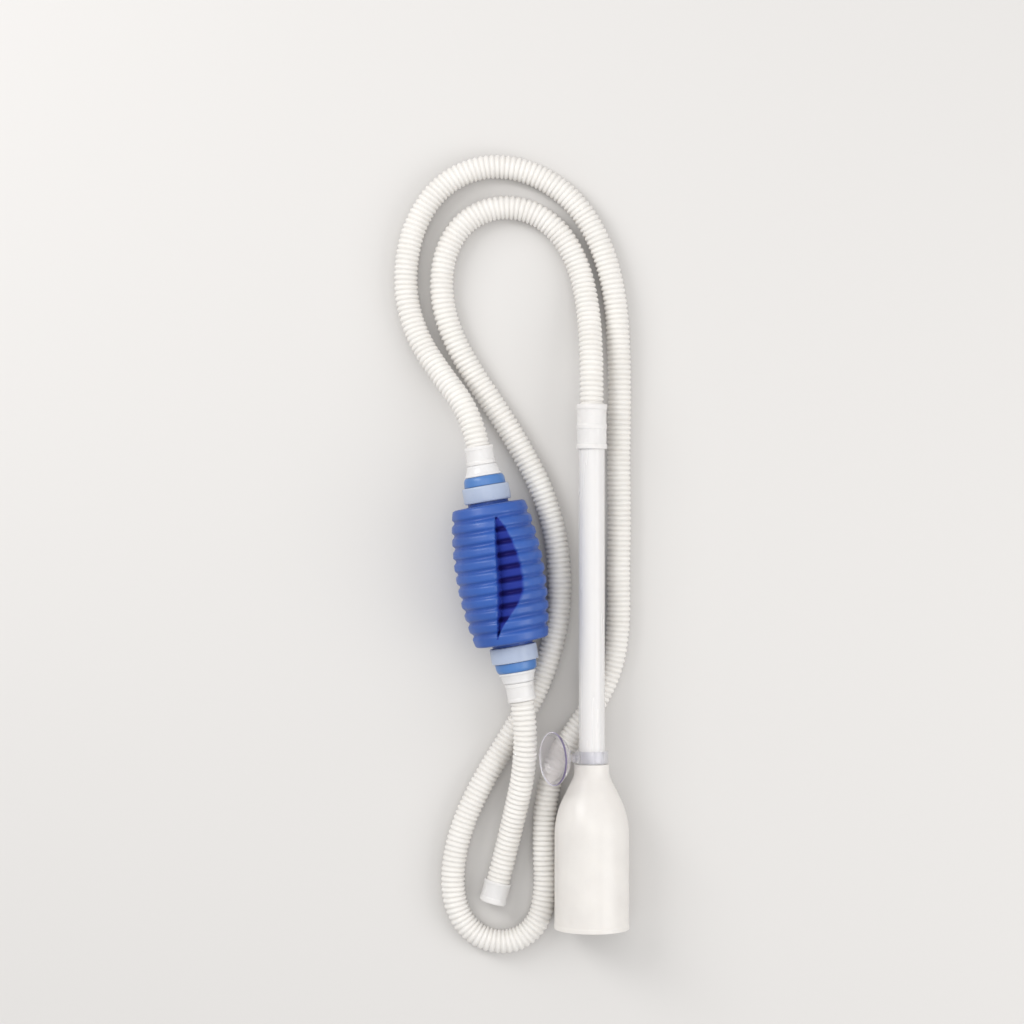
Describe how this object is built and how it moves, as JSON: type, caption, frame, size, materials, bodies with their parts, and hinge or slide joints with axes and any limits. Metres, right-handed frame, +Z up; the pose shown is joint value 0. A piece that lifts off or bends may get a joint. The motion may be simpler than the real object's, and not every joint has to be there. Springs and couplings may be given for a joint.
{
  "type": "gravel vacuum siphon",
  "caption": "Aquarium gravel cleaner: bottle-shaped gravel tube on a rigid tube, suction cup clip, long ribbed hose and a ribbed hand pump bulb with one-way flap valves.",
  "frame": {"origin": "bottom centre of the rigid pieces' box, on the surface the siphon lies on", "axes": "+Z up; +Y along the rigid tube, from the gravel tube's mouth to the hose coupling; +X away from the bulb"},
  "size_m": [0.1419, 0.4772, 0.053],
  "materials": {
    "milky_tube": "milky translucent moulded tube",
    "white_plastic": "moulded white plastic",
    "clear_tube": "clear extruded tube",
    "milky_soft": "soft translucent PVC",
    "clear_clip": "clear moulded clip",
    "clear_cup": "clear soft PVC with a violet tint at the rim",
    "blue_bulb": "soft blue PVC, moulded ribs",
    "hose": "milky translucent ribbed hose",
    "white_collar": "bluish white translucent moulded collar",
    "rubber_seal": "black rubber seal",
    "blue_ring": "blue moulded ring",
    "clear_connector": "clear moulded taper",
    "steel_pin": "stainless pin",
    "rubber_flap": "soft silicone flap"
  },
  "bodies": {
    "main": {"strainer": "white_plastic", "rigid_tube": "clear_tube", "tube_coupling": "milky_soft", "main_hose_riser": "hose", "main_hose": "hose", "main_hose_inlet_end": "hose", "tail_hose": "hose", "tail_end_cuff": "milky_soft", "inlet_collar": "white_collar", "inlet_seal": "rubber_seal", "inlet_ring": "blue_ring", "inlet_connector": "clear_connector", "inlet_cuff": "milky_soft", "inlet_valve_seat": "white_plastic", "inlet_flap_pin": "steel_pin", "outlet_collar": "white_collar", "outlet_seal": "rubber_seal", "outlet_ring": "blue_ring", "outlet_connector": "clear_connector", "outlet_cuff": "milky_soft", "outlet_valve_seat": "white_plastic", "outlet_flap_pin": "steel_pin"},
    "gravel_tube_body": {"gravel_tube": "milky_tube"},
    "clip_body": {"suction_clip": "clear_clip"},
    "cup_body": {"suction_cup": "clear_cup"},
    "bulb_body": {"bulb": "blue_bulb"},
    "inlet_flap_body": {"inlet_flap": "rubber_flap"},
    "outlet_flap_body": {"outlet_flap": "rubber_flap"}
  },
  "joints": [
    {"name": "gravel_tube_pull", "type": "slide", "parent": "main", "child": "gravel_tube_body", "axis": [0, -1, 0], "range_m": [0, 0.02]},
    {"name": "clip_slide", "type": "slide", "parent": "main", "child": "clip_body", "axis": [0, 1, 0], "range_m": [0, 0.042]},
    {"name": "cup_swivel", "type": "hinge", "parent": "clip_body", "child": "cup_body", "pos_m": [0.0302, -0.0534, 0.0223], "axis": [-0.8746, 0, 0.4848], "continuous": true},
    {"name": "bulb_squeeze", "type": "slide", "parent": "main", "child": "bulb_body", "axis": [0, 0, -1], "range_m": [0, 0.008], "stiffness_N_per_m": 400, "deforming": ["bulb"]},
    {"name": "inlet_flap_swing", "type": "hinge", "parent": "main", "child": "inlet_flap_body", "pos_m": [-0.03061, 0.09452, 0.0325], "axis": [-0.9855, -0.1695, 0], "range_deg": [0, 40]},
    {"name": "outlet_flap_swing", "type": "hinge", "parent": "main", "child": "outlet_flap_body", "pos_m": [-0.01631, 0.01134, 0.0325], "axis": [-0.9855, -0.1695, 0], "range_deg": [0, 40]}
  ]
}
